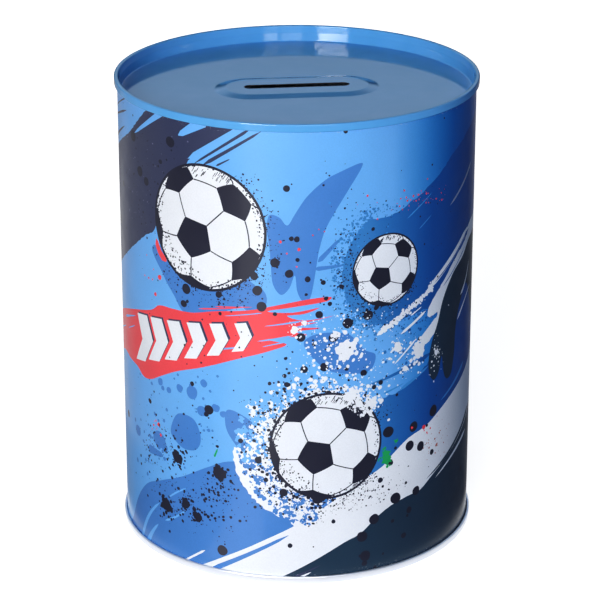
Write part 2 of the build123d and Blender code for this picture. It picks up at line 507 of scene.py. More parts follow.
def right_brushes():
    """The white dry streaks and the dark fingered brush stroke on the right."""
    art = Layers(15)
    fingers = [
        (97, 134), (88, 129), (78, 124.5), (70.5, 116), (66.5, 106), (63, 99), (61, 91), (61.6, 84.5),
        (64.6, 81), (67.8, 83.5), (70, 90), (71.4, 83), (74, 78.6), (78, 79.6), (80.5, 88), (81.5, 99),
        (85, 108), (93, 115), (100, 106), (106, 97), (110, 100), (112, 112), (120, 116), (132, 110),
        (141, 111), (139, 119), (128, 127), (112, 134),
    ]
    band = [
        (99, 139.5), (90, 135.3), (80, 130.6), (70, 123.4), (60.5, 114.5), (60.5, 110), (66, 110.8),
        (64, 106.5), (57, 102.4), (56, 99), (61, 99.5), (68, 106), (75, 119), (90, 129), (100, 133),
        (116, 134), (131, 128), (143, 118), (146, 122), (135, 133), (118, 141),
    ]
    art.ragged("white", band, 6, 0.25, 1.5)
    art.shapes("slate", fingers)
    art.streaks(
        "white", (60, 122.5, 93, 139.8, 2.6, 3, 0.6), (90, 138.4, 152, 133, 3.2, 0.6, 5),
        (33.5, 108.4, 44, 114, 2, 1), (45, 106.6, 58.5, 113.5, 1.2, 1.2), (52, 99.4, 66.5, 108.8, 0.9, 2),
        (42, 94, 53, 102.5, 0.5, 1), (50, 113.5, 56, 116, 0.7, 0.4), (83, 102, 100, 112, 1.6, 0.7, 0.8),
        (86, 112, 97, 124, 1.8, 0.5, -1.5), (118, 122, 138, 115, 0.9, 0.4, 0.6),
    )
    for _ in range(300):
        t = art.rng.random()
        at = (35 + 28 * t, 109.2 + 14.2 * t + art.rng.gauss(0, 0.75))
        art.drop("white", at, art.rng.uniform(0.18, 0.75), 0.3)
    art.streaks("deep_blue", (64, 124.4, 92, 138.4, 0.5, 0.5), (70, 121, 90, 132.4, 0.4, 0.4))
    return art


def red_stroke():
    """The red brush stroke, dry at both ends, with a row of plain chevrons shrinking along it."""
    art = Layers()
    stroke = [
        (-152, 76), (-139, 84), (-127, 90), (-115, 95), (-100, 101), (-85, 106), (-70, 110.6), (-64, 114.4),
        (-55, 115.2), (-45, 116), (-34, 118.8), (-20, 121), (-8, 124), (4, 126.6), (13.4, 127.4),
        (12, 125.6), (1, 123.8), (-12, 121.3), (-2, 121), (9, 123), (3, 120.5), (-4, 119.6), (3, 117.6),
        (15, 119.2), (3, 116.6), (8.4, 116.6), (-1, 114.8), (9.6, 114.2), (-2, 112.8), (4, 111.4),
        (-12, 109.2), (-4, 107.4), (-12, 103.8), (-25, 99.2), (-40, 93.2), (-54, 88), (-65, 82.4),
        (-71, 79.3), (-77, 78.4), (-83, 81), (-92, 81.6), (-101, 82), (-115, 76.5), (-130, 69), (-144, 61),
        (-137, 67), (-151, 64), (-138, 71), (-156, 69), (-141, 75),
    ]
    art.shapes("red", stroke, steps=4)
    art.streaks(
        "ground", (-98, 98.4, -84, 103.4, 1.3, 0.3), (-93, 94.8, -85, 98.6, 0.5, 0.4),
        (-112, 88, -98, 94, 0.8, 0.3), (-34, 102.2, -20, 105.4, 0.9, 0.4), (-13, 114.8, 2, 117.4, 0.3, 0.9),
        (-16, 108, -2, 111, 0.4, 0.8), (-14, 105.8, -4, 108.6, 0.3, 0.7),
        (-30, 117.4, -14, 120.4, 0.3, 0.5),
    )
    art.streaks("red", (-42, 118.4, -22, 122, 0.7, 0.3), (-34, 120.8, -18, 122.6, 0.7, 0.3))
    plain_chevron = np.array([(0, 0), (0.40, 0.08), (0.70, 0.60), (0.50, 1.07), (0.10, 1), (0.30, 0.52)])
    for t in np.arange(6) / 5:
        foot = np.array([-84 + 57 * t, 84 + 18.2 * t])
        chevron = foot + (21.5 - 9 * t) * plain_chevron
        art += [("charcoal", chevron + (0.9, 0.9)), ("white", chevron)]
    return art


def splash_ring():
    """The lacy white splash that the lowest ball lands in, with a smooth outer lip and dark grit in it."""
    art = Layers(17)
    centre, radius = LOW_BALL
    lip = [
        (-27, 58), (-25.5, 50), (-21, 41), (-13, 33.6), (-4, 29.6), (4, 29.5), (12, 33.5), (4, 34.6),
        (-4, 36.5), (-11, 40), (-17, 46), (-21.5, 53), (-24.5, 60),
    ]
    art.ragged("white", lip, 4, 0.5, 1.1)
    for ink, count, arc, reaches, sizes in (
        ("white", 95, (150, 262), (1, 1.58), (0.9, 2.2)),
        ("mid_blue", 130, (188, 262), (1.03, 1.55), (0.5, 1.4)),
        ("ground", 75, (140, 192), (1.03, 1.6), (0.5, 1.4)),
    ):
        for _ in range(count):
            angle = radians(art.rng.uniform(*arc))
            reach = radius * art.rng.uniform(*reaches)
            art.blot(ink, polar(centre, reach, angle), art.rng.uniform(*sizes), 0.38)
    for ink, arc, count, depth, sizes in (
        ("white", (35, 265), 640, 11, (0.2, 1.1)), ("white", (215, 285), 160, 9, (0.2, 1)),
        ("black", (100, 268), 420, 13, (0.18, 0.8)), ("black", (15, 100), 100, 8, (0.18, 0.6)),
        ("black", (262, 325), 150, 8, (0.16, 0.45)),
    ):
        art.halo(ink, centre, radius, arc, count, depth, sizes)
    return art


def thrown_drops():
    """Loose drops and blots over the whole front, the large ones well apart."""
    art = Layers(18)
    large, count, apart = [], 86, 6
    while len(large) < count:
        along, across = art.rng.uniform(-1, 1), art.rng.gauss(0, 26)
        s, z = 56 * along + 0.5 * across, 84 - 56 * along + across
        over_chevrons = -90 < s < -14 and 82 < z < 118
        if not over_chevrons and all(hypot(s - other[0], z - other[1]) > apart for other in large):
            large.append((s, z))
    for at in large:
        art.drop("black", at, 0.7 + 1.9 * art.rng.random() ** 1.6, 0.12)
    art.spray("black", (-14, 100), (32, 40), 110, (0.35, 1.2))
    art.splatter(
        "black", (-62, 24.6, 3.6), (-54.6, 49, 3.2), (-33, 46.8, 3.4), (-50.3, 29, 2.6), (-44, 24.6, 2.4),
        roughness=0.16,
    )
    art.splatter(
        "white", (20, 104, 4.6), (16, 111, 1.7), (55, 97, 3.6), (43.6, 101.2, 2.4), (47.6, 90.9, 1.5),
        (66, 93, 1.5), (-1, 113.5, 1.8), (3, 116.6, 1.2), roughness=0.2,
    )
    art.splatter("green", (38.8, 52.8, 2.9), (43.5, 59.4, 0.9))
    art.streaks("green", (-35.4, 54, -33.8, 58, 0.9, 0.7))
    art.streaks("red", (-65.2, 143, -59, 134.8, 2.2, 3.2, -1.2))
    for centre, spread in (((-69, 129), (3, 4)), ((5, 153), (7, 5)), ((-69, 58), (3, 2)), ((57, 60), (4, 2))):
        art.spray("red", centre, spread, 7, (0.3, 1.2))
    for ink, centre, spread, count, largest in (
        ("red", (52, 163), (10, 2.5), 55, 0.5), ("black", (22, 137), (6, 14), 200, 0.5),
        ("black", (30, 118), (12, 6), 90, 0.5), ("white", (30, 114), (10, 5), 70, 0.5),
        ("white", (14, 104), (9, 7), 170, 0.8), ("white", (42, 95), (11, 8), 120, 0.7),
        ("white", (66, 91), (3, 5), 26, 0.6), ("black", (-64, 50), (9, 9), 150, 0.75),
        ("black", (-50, 28), (10, 6), 160, 0.8), ("black", (-34, 38), (7, 6), 120, 0.8),
        ("black", (0, 150), (60, 28), 100, 0.5), ("black", (0, 80), (45, 30), 80, 0.5),
    ):
        art.spray(ink, centre, spread, count, (0.18, largest))
    return art


def back_artwork():
    """The same kind of artwork carried round the back, up to the bare stripe of the side weld."""
    art = Layers(19)
    swell = [
        (172, -5), (184, 14), (198, 27), (214, 34), (236, 36), (250, 35), (266, 28), (281, 24), (299, 27),
        (317, 24), (333, 14), (343, -5),
    ]
    crest = [
        (236, 176), (224, 180), (212, 177), (203, 166), (200, 152), (206, 142), (214, 150), (222, 160),
        (236, 163), (248, 158), (259, 151), (268, 143), (273, 131), (278, 130), (273, 146), (263, 160),
        (249, 170),
    ]
    brush = [
        (236, 92), (218, 97), (202, 104), (190, 106), (196, 101), (184, 100), (197, 95), (187, 91),
        (203, 88), (196, 84), (214, 82), (236, 76), (251, 73), (265, 71), (258, 76), (271, 76), (260, 80),
        (268, 83), (257, 84),
    ]
    art.shapes("mid_blue", swell, crest, steps=4)
    art.ragged("charcoal", brush, 4, 0.2, 1.4)
    beyond_weld = (2 * HALF_WAY, 0)
    art[:] = [(ink, part) for ink, outline in art for part in (outline, outline - beyond_weld)]
    art.streaks("ground", (-214, 6, -184, 20, 1.2, 2, 1.5), (192, 4, 216, 27, 2.2, 0.6, 1.5))
    for centre, radius in (((178, 136), 26), ((-186, 52), 22), ((-172, 158), 17), ((214, 62), 13)):
        for ink, arc, count, depth, sizes in (
            ("mid_blue", (0, 360), 40, 13, (0.3, 1.6)), ("white", (150, 330), 140, 9, (0.2, 0.9)),
            ("black", (0, 360), 170, 10, (0.2, 0.7)),
        ):
            art.halo(ink, centre, radius, arc, count, depth, sizes)
        art.football(centre, radius)
    for _ in range(80):
        at = art.rng.choice((-1, 1)) * art.rng.uniform(118, 228), art.rng.uniform(8, 190)
        ink = "black" if art.rng.random() < 0.8 else "mid_blue"
        art.drop(ink, at, 0.4 + 2.2 * art.rng.random() ** 3)
    art.splatter("black", (-142, 46, 3.4), (150, 178, 2.8), (-212, 112, 3), (222, 118, 2.6))
    art.splatter("red", (-150, 178, 2.6))
    art.splatter("green", (196, 172, 1.6))
    art.splatter("red", (-216, 30, 2.2))
    for centre, spread, count in (
        ((-150, 60), (26, 26), 150), ((200, 110), (24, 34), 160), ((-205, 120), (16, 34), 110),
    ):
        art.spray("black", centre, spread, count, (0.18, 0.6))
    return art


def artwork():
    """Every layer of the print, from the ground up."""
    art = Layers(20)
    for part in (
        blue_shapes, deep_blue_field, charcoal_brush, white_swoosh, right_brushes, back_artwork, red_stroke,
        splash_ring,
    ):
        art += part()
    art.halo("black", *HIGH_BALL, (-80, 60), 200, 7, (0.18, 0.5))
    art.halo("black", *HIGH_BALL, (225, 330), 150, 8, (0.18, 0.5))
    art.halo("black", *SMALL_BALL, (150, 330), 150, 5, (0.18, 0.45))
    art += thrown_drops()
    for ball in (HIGH_BALL, SMALL_BALL, LOW_BALL):
        art.football(*ball)
    art.splatter("white", (31.5, 79, 2.8), (22.5, 84, 3), (26, 79.5, 1.6))
    art.halo("white", LOW_BALL[0], 18, (35, 80), 50, 8, (0.2, 0.9))
    return art


# ---- Bent plate: a cross-section in (reach, height), swept round the box


def plate_section(path, bends, plate, to_axis=False):
    """The closed cross-section of plate bent along a mid-plane path, as rows of (point, outward normal)."""
    points = [np.array(point, float) for point in path]
    start, end = unit(points[1] - points[0]), unit(points[-1] - points[-2])
    points[0] = points[0] + start * plate / 2
    if not to_axis:
        points[-1] = points[-1] - end * plate / 2
    middle = [(points[0], left_of(start))]
    for a, b, c, bend in zip(points, points[1:], points[2:], bends):
        middle += bent_corner(a, b, c, bend)
    middle.append((points[-1], left_of(end)))
    rows = [(point + normal * plate / 2, normal) for point, normal in middle]
    if not to_axis:
        rows += cut_edge(points[-1], end, plate / 2)
    rows += [(point - normal * plate / 2, -normal) for point, normal in reversed(middle)]
    return rows + cut_edge(points[0], -start, plate / 2)


def bent_corner(a, b, c, bend):
    """Points and left-hand normals of the arc that rounds the corner b of a path from a to c."""
    back, ahead = unit(a - b), unit(c - b)
    cross = back[0] * ahead[1] - back[1] * ahead[0]
    half = atan2(abs(cross), back @ ahead) / 2
    centre = b + unit(back + ahead) * bend / sin(half)
    first = b + back * bend / tan(half) - centre
    last = b + ahead * bend / tan(half) - centre
    steps = max(3, round((pi - 2 * half) / radians(9)))
    spokes = [unit(first + (last - first) * k / steps) for k in range(steps + 1)]
    return [(centre + spoke * bend, spoke * np.sign(cross)) for spoke in spokes]


def cut_edge(end, outward, radius, steps=6):
    """The half-round edge of a plate that ends here, from its left side to its right."""
    turns = [pi * k / steps for k in range(1, steps)]
    normals = [left_of(outward) * cos(turn) + outward * sin(turn) for turn in turns]
    return [(end + normal * radius, normal) for normal in normals]


def sweep(rows, columns, place, skip=None):
    """Vertices, normals and faces of a closed section swept round.

    place(reach, column) gives x and y of a point, and x and y of the direction outwards there.
    """
    vertices, normals, rings, faces = [], [], [], []
    for (reach, height), (out, up) in rows:
        first = len(vertices)
        on_axis = reach < 1e-6
        rings.append([first] * len(columns) if on_axis else range(first, first + len(columns)))
        for column in columns[:1] if on_axis else columns:
            x, y, dx, dy = place(reach, column)
            vertices.append((x * MM, y * MM, height * MM))
            normals.append((dx * out, dy * out, up))
    for i, ring in enumerate(rings):
        if i == skip:
            continue
        beyond = rings[(i + 1) % len(rings)]
        for j, k in zip(range(len(columns)), [*range(1, len(columns)), 0]):
            corners = list(dict.fromkeys((ring[j], beyond[j], beyond[k], ring[k])))
            if len(corners) > 2:
                faces.append(corners)
    return vertices, normals, faces


def round_place(reach, angle):
    return reach * cos(angle), reach * sin(angle), cos(angle), sin(angle)


def add_piece(name, shape, materials, replaced):
    """A smooth-shaded piece of the given vertices, normals and faces, in place of a CAD node."""
    vertices, normals, faces = shape
    mesh = bpy.data.meshes.new(name)
    mesh.from_pydata(vertices, [], faces)
    mesh.polygons.foreach_set("use_smooth", [True] * len(faces))
    mesh.normals_split_custom_set_from_vertices(normals)
    for material in materials:
        mesh.materials.append(material)
    piece = bpy.data.objects.new(name, mesh)
    bpy.context.scene.collection.objects.link(piece)
    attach(piece, "root")
    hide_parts(replaced)
    return mesh


# ---- The printed tube


def unrolled(reach, s):
    """The place and outward direction of a point that lies s round the wall from the print's front."""
    angle = FRONT + s / WALL
    return reach * sin(angle), -reach * cos(angle), sin(angle), -cos(angle)


def wall_columns():
    """Where the wall's vertical lines stand, close together at the weld."""
    edge = HALF_WAY - BARE_MARGIN
    from_weld = (WELD_WIDTH / 6, WELD_WIDTH / 3, WELD_WIDTH / 2, *STRIPE_LINES)
    beside_weld = [side * (HALF_WAY - offset) for offset in from_weld for side in (-1, 1)]
    return sorted([-HALF_WAY, *beside_weld, *np.linspace(-edge, edge, WALL_COLUMNS)])


def weld_ridge(s, z):
    """How far the mashed weld stands proud of the wall here."""
    across = (HALF_WAY - abs(s)) / (WELD_WIDTH / 2)
    along = min(z - WELD_END, HEIGHT - WELD_END - z) / WELD_RUN_OUT
    if across >= 1 or along <= 0:
        return 0.0
    return WELD_RIDGE * (1 + cos(pi * across)) / 2 * min(along, 1.0)


def wall_triangles(columns, low, high, layers):
    """The unrolled wall as triangles that follow every column and the outline of every layer of ink."""
    points, edges = [], []

    def chain(line, closed):
        first = len(points)
        points.extend(line)
        edges.extend((first + i, first + i + 1) for i in range(len(line) - 1))
        if closed:
            edges.append((first + len(line) - 1, first))

    rows = np.linspace(low, high, WALL_ROWS)
    weld_rows = [WELD_END, WELD_END + WELD_RUN_OUT, HEIGHT - WELD_END - WELD_RUN_OUT, HEIGHT - WELD_END]
    for s in columns + [HALF_WAY]:
        at_weld = HALF_WAY - abs(s) < WELD_WIDTH
        chain([(s, z) for z in sorted([*rows, *weld_rows] if at_weld else rows)], False)
    for ink, outline in layers:
        chain(outline.tolist(), True)
    flat = [Vector(point) for point in points]
    corners, _, triangles, *_ = delaunay_2d_cdt(flat, edges, [], 0, 1e-5, False)
    return np.array([tuple(c) for c in corners]), np.array(triangles)


def inks_of(centres, layers):
    """The number of the topmost layer's ink at each point, or that of the ground."""
    order = np.argsort(centres[:, 0])
    s, z = centres[order].T
    ink = np.full(len(s), INK_NAMES.index("ground"))
    for name, outline in layers:
        lowest, highest = outline.min(0), outline.max(0)
        first, last = np.searchsorted(s, (lowest[0], highest[0]))
        near = first + np.flatnonzero((z[first:last] > lowest[1]) & (z[first:last] < highest[1]))
        x0, z0 = outline.T
        x1, z1 = np.roll(outline, -1, 0).T
        slope = (x1 - x0) / np.where(z1 == z0, 1, z1 - z0)
        for some in np.array_split(near, 1 + len(near) * len(outline) // 2_000_000):
            spans = (z0[:, None] > z[some]) != (z1[:, None] > z[some])
            left = s[some] < x0[:, None] + slope[:, None] * (z[some] - z0[:, None])
            inside = (spans & left).sum(0) % 2 == 1
            ink[some[inside]] = INK_NAMES.index(name)
    unsorted = np.empty_like(ink)
    unsorted[order] = ink
    return unsorted


def ink_colours(ink, s):
    """The colour of each numbered ink at its place along s, from 0 to 1."""
    colours = np.array([INKS[name] for name in INK_NAMES], float)[ink]
    for name, (other, places, shares) in FADES.items():
        some = ink == INK_NAMES.index(name)
        share = np.interp(s[some], places, shares)[:, None]
        colours[some] += (np.array(other) - colours[some]) * share
    return colours / 255


def kept_on_wall(layers):
    """The layers, cut off at the bare stripe and behind the seams, without those that lie beyond."""
    edge = HALF_WAY - BARE_MARGIN
    kept = []
    for name, outline in layers:
        clipped = np.clip(outline, (-edge, PRINT_END), (edge, HEIGHT - PRINT_END))
        if np.ptp(clipped, 0).min() > 0.02:
            kept.append((name, clipped))
    return kept


def join_wall(flat, columns, upper_ring, lower_ring, low, high, vertices, normals):
    """The vertex of each point of the unrolled wall: one of the flanges' rings, or a new one on the tube."""
    index = np.empty(len(flat), int)
    on_seam = {}
    for i, (s, z) in enumerate(flat):
        at_seam = HALF_WAY - abs(s) < 1e-3
        if min(z - low, high - z) < 1e-3:
            column = 0 if at_seam else int(np.argmin(np.abs(np.array(columns) - s)))
            index[i] = (upper_ring if z > HEIGHT / 2 else lower_ring) + column
        elif at_seam and round(z, 3) in on_seam:
            index[i] = on_seam[round(z, 3)]
        else:
            index[i] = len(vertices)
            if at_seam:
                on_seam[round(z, 3)] = index[i]
            x, y, dx, dy = unrolled(WALL + weld_ridge(s, z), s)
            vertices.append((x * MM, y * MM, z * MM))
            normals.append((dx, dy, 0))
    return index


def printed_body(printed, bare):
    """The tube: folded flanges, a bare inside, a weld ridge up the back and the print all round."""
    flanges = [(BODY_HOOK, BODY_HOOK_DEPTH), (BODY_HOOK, FLANGE_DEPTH), (WALL - BODY_PLATE / 2, FLANGE_DEPTH)]
    path = [(reach, HEIGHT - depth) for reach, depth in flanges] + flanges[::-1]
    rows = plate_section(path, [HOOK_BEND] * 4, BODY_PLATE)
    lengths = [np.hypot(*(a[0] - b[0])) for a, b in zip(rows, rows[1:])]
    outside = lengths.index(max(lengths[:len(rows) // 2]))
    high, low = rows[outside][0][1], rows[outside + 1][0][1]

    columns = wall_columns()
    vertices, normals, faces = sweep(rows, columns, unrolled, skip=outside)
    plain_faces = len(faces)
    layers = kept_on_wall(artwork())
    flat, triangles = wall_triangles(columns, low, high, layers)
    rings = outside * len(columns), (outside + 1) * len(columns)
    index = join_wall(flat, columns, *rings, low, high, vertices, normals)
    faces += index[triangles].tolist()
    shape = vertices, normals, faces
    mesh = add_piece("printed_body", shape, [printed, bare], "body_shell")

    slots = np.ones(len(faces), int)
    slots[plain_faces:] = np.abs(flat[triangles][:, :, 0].mean(1)) > HALF_WAY - BARE_MARGIN
    mesh.polygons.foreach_set("material_index", slots)
    ink = inks_of(flat[triangles].mean(1), layers)
    colours = np.ones((len(mesh.loops), 4))
    colours[-3 * len(triangles):, :3] = ink_colours(np.repeat(ink, 3), flat[triangles].reshape(-1, 2)[:, 0])
    attribute = mesh.color_attributes.new("ink", "BYTE_COLOR", "CORNER")
    attribute.data.foreach_set("color_srgb", colours.ravel())


# ---- The two ends


def seamed_path(panel):
    """An end's mid-plane as (reach, depth): cover hook, seam foot, crest, chuck wall and then the panel."""
    return [
        (COVER_HOOK, COVER_HOOK_DEPTH), (COVER_HOOK, SEAM_FOOT_DEPTH), (SEAMING_WALL, SEAM_FOOT_DEPTH),
        (SEAMING_WALL, END_PLATE / 2), (CHUCK_WALL, END_PLATE / 2), (CHUCK_WALL, SEAM_HEIGHT), *panel,
    ]


def divided(rows, longest):
    """The rows with more put in where two neighbours are further apart than longest."""
    result = []
    for (a, n), (b, _) in zip(rows, rows[1:] + rows[:1]):
        count = max(1, ceil(hypot(*(b - a)) / longest))
        result += [(a + (b - a) * k / count, n) for k in range(count)]
    return result


def oval_place(reach, column):
    """A loop that is round at the panel's edge and turns into the long oval round the slot further in."""
    t = (PANEL_ROUND - reach) / (PANEL_ROUND - OVAL_FOOT)
    blend = min(max(t, 0.0), 1.0)
    squareness = blend * blend * (3 - 2 * blend)
    t = min(max((OVAL_TOP - reach) / (OVAL_TOP - SLOT_HALF_WIDTH), 0.0), 1.0)
    straight = squareness * (OVAL_STRAIGHT + (SLOT_STRAIGHT - OVAL_STRAIGHT) * t)
    round_angle, side, oval_angle = column
    angle = round_angle + (oval_angle - round_angle) * squareness
    return straight * side + reach * cos(angle), reach * sin(angle), cos(angle), sin(angle)


def oval_columns(on_bend=92, on_side=60):
    """Columns as (angle on a circle, place along the straight side, angle on the oval)."""
    count = 2 * (on_bend + on_side)
    columns = []
    for half, sign in ((0, 1), (pi, -1)):
        columns += [(sign, half - pi / 2 + pi * k / on_bend) for k in range(on_bend)]
        columns += [(sign * (1 - 2 * k / on_side), half + pi / 2) for k in range(on_side)]
    start = -pi * on_bend / count
    return [(start + 2 * pi * k / count, side, angle) for k, (side, angle) in enumerate(columns)]


def top_end(lacquer):
    """The lacquered end: seamed edge, sunk panel, raised oval and the coin slot punched through it."""
    low = PANEL_DEPTH + END_PLATE / 2
    high = low - OVAL_RISE
    panel = [(CHUCK_WALL - CHUCK_TAPER, low), (OVAL_FOOT, low), (OVAL_TOP, high), (SLOT_HALF_WIDTH, high)]
    bends = SEAM_BENDS + [PANEL_BEND, OVAL_FILLET, OVAL_FILLET]
    path = [(reach, HEIGHT - depth) for reach, depth in seamed_path(panel)]
    rows = plate_section(path, bends, END_PLATE)
    shape = sweep(divided(rows, 3.0), oval_columns(), oval_place)
    add_piece("lacquered_top", shape, [lacquer], "top_end")


def bottom_end(bare):
    """The bare end: seamed edge and a panel that steps further in at each ring bead."""
    depth = BOTTOM_PANEL_DEPTH + END_PLATE / 2
    panel = [(CHUCK_WALL - CHUCK_TAPER, depth)]
    for reach in BEAD_REACHES:
        panel += [(reach, depth), (reach - BEAD_RAMP, depth + BEAD_STEP)]
        depth += BEAD_STEP
    panel.append((0.0, depth))
    bends = SEAM_BENDS + [PANEL_BEND] + [BEAD_BEND] * 2 * len(BEAD_REACHES)
    rows = plate_section(seamed_path(panel), bends, END_PLATE, to_axis=True)
    columns = [2 * pi * k / END_COLUMNS for k in range(END_COLUMNS)]
    shape = sweep(rows, columns, round_place)
    add_piece("bare_bottom", shape, [bare], "bottom_end")


# ---- Materials


class Nodes:
    """Short ways to add nodes to a tree. An input is a plain value or the socket that leads to it."""

    def __init__(self, owner):
        owner.use_nodes = True
        self.tree = owner.node_tree

    def set(self, node, inputs):
        for name, value in inputs.items():
            if isinstance(value, bpy.types.NodeSocket):
                self.tree.links.new(value, node.inputs[name])
            else:
                node.inputs[name].default_value = value

    def add(self, kind, inputs=None, **settings):
        node = self.tree.nodes.new("ShaderNode" + kind)
        for name, value in settings.items():
            setattr(node, name, value)
        self.set(node, inputs or {})
        return node

    def ramp(self, value, low, high, to_low=0.0, to_high=1.0):
        """value brought from the range low..high to the range to_low..to_high, and held at its ends."""
        inputs = {"Value": value, "From Min": low, "From Max": high, "To Min": to_low, "To Max": to_high}
        return self.add("MapRange", inputs).outputs["Result"]

    def math(self, operation, a, b=0.0):
        return self.add("Math", {0: a, 1: b}, operation=operation).outputs["Value"]

    def times(self, a, b):
        return self.math("MULTIPLY", a, b)

    def plus(self, a, b):
        return self.math("ADD", a, b)

    def parts(self, vector):
        """The X, Y and Z of a vector."""
        return self.add("SeparateXYZ", {"Vector": vector}).outputs

    def mix(self, factor, a, b, blend="MIX"):
        """Colour a where factor is 0 and colour b where it is 1."""
        return self.add("Mix", data_type="RGBA", blend_type=blend, inputs={0: factor, 6: a, 7: b}).outputs[2]


class Finish(Nodes):
    """A material: a Principled shader and what leads to it. Sizes are in millimetres."""

    def __init__(self, name, **inputs):
        self.material = bpy.data.materials.new(name)
        super().__init__(self.material)
        self.shader = self.tree.nodes["Principled BSDF"]
        self.place = self.add("TexCoord").outputs["Object"]
        self.set(self.shader, inputs)

    def noise(self, size, detail=3.0, distortion=0.0, **mapping):
        """Noise with features about size across. A Scale under 1 stretches it along that axis."""
        mapped = self.add("Mapping", {"Vector": self.place, **mapping}).outputs["Vector"]
        inputs = {"Vector": mapped, "Scale": 1 / (size * MM), "Detail": detail, "Distortion": distortion}
        return self.add("TexNoise", inputs).outputs["Fac"]

    def mottle(self, size, low=0.0, high=1.0, detail=3.0):
        """Noise that is spread over the range low..high."""
        return self.ramp(self.noise(size, detail), 0.3, 0.7, low, high)

    def scratches(self, size, width):
        """Thin random lines, few and faint: 1 on a line and 0 elsewhere."""
        lines = 0.0
        for turn in (0.35, 1.4):
            wave = self.noise(size, 1.0, 0.6, Rotation=(turn, turn / 2, turn))
            from_line = self.math("ABSOLUTE", self.math("SUBTRACT", wave, 0.5))
            lines = self.math("MAXIMUM", self.ramp(from_line, 0.0, width, 1.0, 0.0), lines)
        return self.times(lines, self.ramp(self.noise(size * 0.8), 0.56, 0.66))

    def finished(self, colour, rough, height, depth, **inputs):
        """The material with this colour and roughness, and bumps of the given depth."""
        bump = self.add("Bump", {"Height": height, "Distance": depth * MM, "Strength": 1.0}).outputs["Normal"]
        self.set(self.shader, {"Base Color": colour, "Roughness": rough, "Normal": bump, **inputs})
        return self.material


def printed_tinplate():
    """Ink on tinplate under a satin varnish, with faint mottling, grain and orange peel, and nicked edges."""
    finish = Finish("printed_tinplate", **{"Coat Weight": 0.5, "Coat Roughness": 0.16, "IOR": 1.45})
    ink = finish.add("VertexColor", layer_name="ink").outputs["Color"]
    tone = finish.times(finish.mottle(26.0, 0.96, 1.03), finish.mottle(0.55, 0.965, 1.035, detail=2.0))
    tone = finish.add("CombineColor", {0: tone, 1: tone, 2: tone}).outputs[0]
    colour = finish.mix(1.0, ink, tone, "MULTIPLY")
    height = finish.parts(finish.place)["Z"]
    from_middle = finish.math("ABSOLUTE", finish.math("SUBTRACT", height, HEIGHT * MM / 2))
    seam = (HEIGHT / 2 - SEAM_HEIGHT) * MM
    by_seam = finish.ramp(from_middle, seam - 2.2 * MM, seam)
    nick = finish.times(by_seam, finish.ramp(finish.noise(1.1, 1.0, Scale=(1, 1, 2.5)), 0.66, 0.70))
    colour = finish.mix(finish.times(nick, 0.45), colour, (0.62, 0.66, 0.72, 1))
    return finish.finished(colour, finish.mottle(9.0, 0.40, 0.50), finish.noise(0.8, 2.0), 0.004)


def blue_lacquer():
    """Glossy blue lacquer, slightly uneven in depth and rubbed beside the slot; its cut edge at the slot is
    painted near black as painted shade.
    """
    finish = Finish("blue_lacquer", IOR=1.5)
    colour = finish.mix(finish.mottle(18.0), (0.12, 0.40, 0.81, 1), (0.145, 0.43, 0.85, 1))
    x, y, _ = finish.parts(finish.place)
    beyond_straight = finish.math("SUBTRACT", finish.math("ABSOLUTE", x), SLOT_STRAIGHT * MM)
    along = finish.math("MAXIMUM", beyond_straight, 0.0)
    reach = finish.math("SQRT", finish.plus(finish.math("POWER", along, 2.0), finish.math("POWER", y, 2.0)))

    def near_slot(inner, outer):
        return finish.ramp(reach, (SLOT_HALF_WIDTH + inner) * MM, (SLOT_HALF_WIDTH + outer) * MM, 1.0, 0.0)

    rub = finish.times(near_slot(0.3, 1.0), finish.ramp(finish.noise(1.6), 0.5, 0.62, 0.0, 0.3))
    # Painted shade: the slot's cut edge is painted near black and made rougher, standing in for the dark
    # inside of the slot.
    shaded_cut = near_slot(0.16, 0.20)
    colour = finish.mix(rub, colour, (0.42, 0.56, 0.78, 1))
    colour = finish.mix(shaded_cut, colour, (0.02, 0.02, 0.025, 1))
    rough = finish.plus(finish.mottle(7.0, 0.06, 0.10), finish.times(shaded_cut, 0.5))
    return finish.finished(colour, rough, finish.noise(4.0, 2.0), 0.003)


def bare_tinplate():
    """Unprinted tinplate: bright metal with a faint rolled grain, clouding and hairline scratches."""
    finish = Finish("bare_tinplate", Metallic=0.75)
    colour = finish.mix(finish.mottle(14.0), (0.86, 0.89, 0.97, 1), (0.93, 0.95, 1.0, 1))
    grain = finish.noise(0.5, 2.0, Scale=(1, 0.03, 1))
    scratch = finish.scratches(18.0, 0.004)
    rough = finish.plus(finish.ramp(grain, 0.3, 0.7, 0.30, 0.40), finish.times(scratch, 0.15))
    return finish.finished(colour, rough, finish.plus(grain, finish.times(scratch, -1.0)), 0.0015)


def seam_compound():
    """The grey sealing compound in the head of each seam."""
    finish = Finish("seam_compound")
    cloud = finish.ramp(finish.noise(1.2), 0.35, 0.65)
    colour = finish.mix(cloud, (0.10, 0.10, 0.11, 1), (0.16, 0.16, 0.17, 1))
    return finish.finished(colour, finish.mottle(0.6, 0.65, 0.85), finish.noise(0.4), 0.02)


